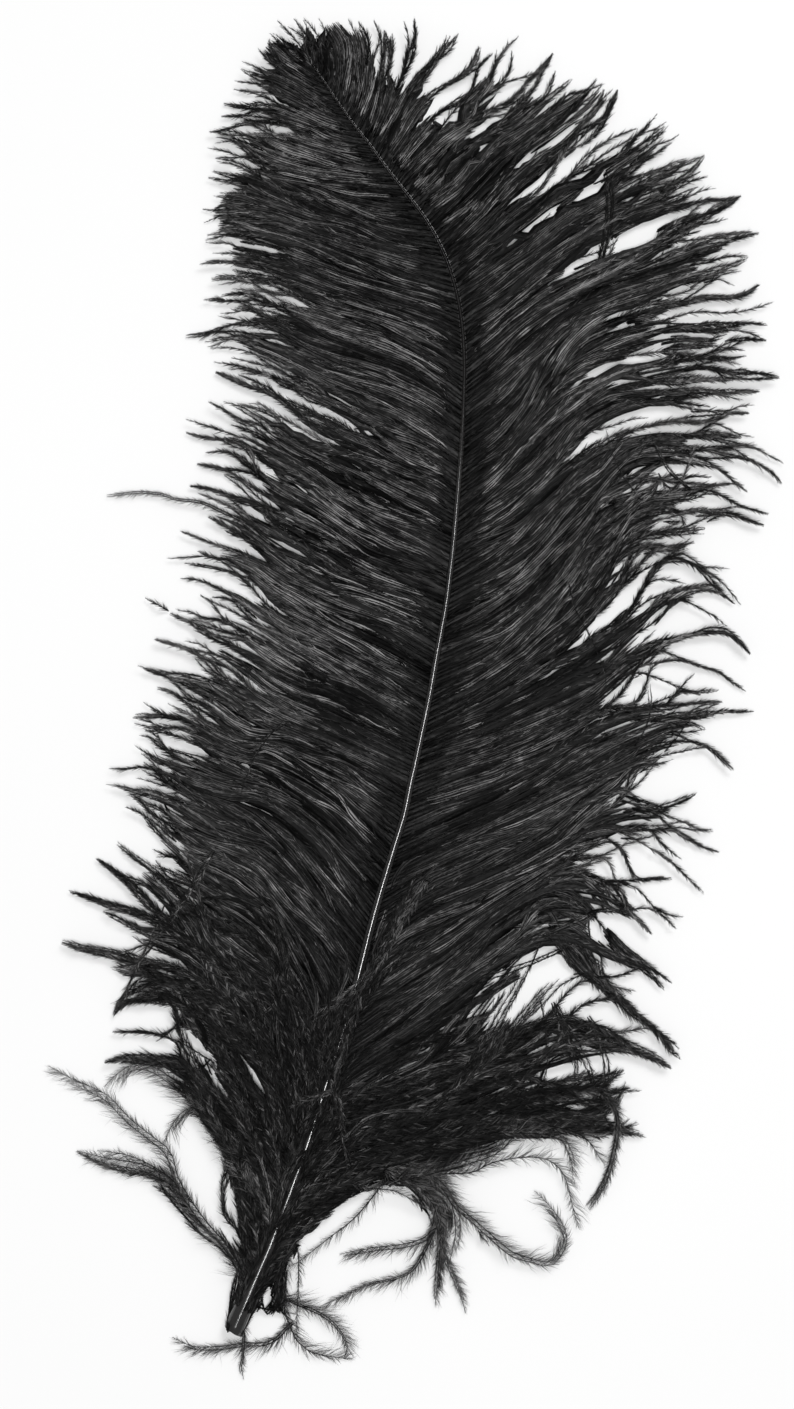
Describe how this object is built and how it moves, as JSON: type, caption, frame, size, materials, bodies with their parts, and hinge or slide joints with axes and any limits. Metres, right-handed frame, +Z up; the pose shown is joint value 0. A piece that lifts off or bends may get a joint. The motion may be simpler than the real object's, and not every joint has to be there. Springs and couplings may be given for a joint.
{
  "type": "ostrich feather",
  "caption": "Black-dyed ostrich wing plume with a cut quill and a curved shaft, lying flat; wide soft webs of long barbs, with down and loose curling barbs round the quill.",
  "frame": {"origin": "middle of the feather's outline on the surface that it lies on", "axes": "+X across the feather to the right, +Y from the quill towards the tip, +Z up out of the surface"},
  "size_m": [0.3248, 0.5981, 0.0146],
  "materials": {
    "horn": "dyed keratin, smooth and glossy along its ridge",
    "vane": "dyed barbs with soft barbules, matt with a faint sheen",
    "down": "dyed loose down, matt"
  },
  "bodies": {
    "root": {"left_down": "down", "left_vane": "vane", "right_down": "down", "right_vane": "vane", "shaft": "horn", "stray_barb_hook": "down", "stray_barb_left_arch": "down", "stray_barb_left_curl": "down", "stray_barb_left_high": "down", "stray_barb_left_long": "down", "stray_barb_left_low": "down", "stray_barb_low_arc": "down", "stray_barb_low_drop": "down", "stray_barb_low_fork": "down", "stray_barb_low_long": "down", "stray_barb_low_short": "down", "stray_barb_low_slant": "down", "stray_barb_low_sweep": "down", "stray_barb_quill_curl": "down", "stray_barb_quill_drop": "down", "stray_barb_quill_end": "down", "stray_barb_quill_left": "down", "stray_barb_right_bend": "down", "stray_barb_right_droop": "down", "stray_barb_right_tail": "down"}
  },
  "joints": []
}
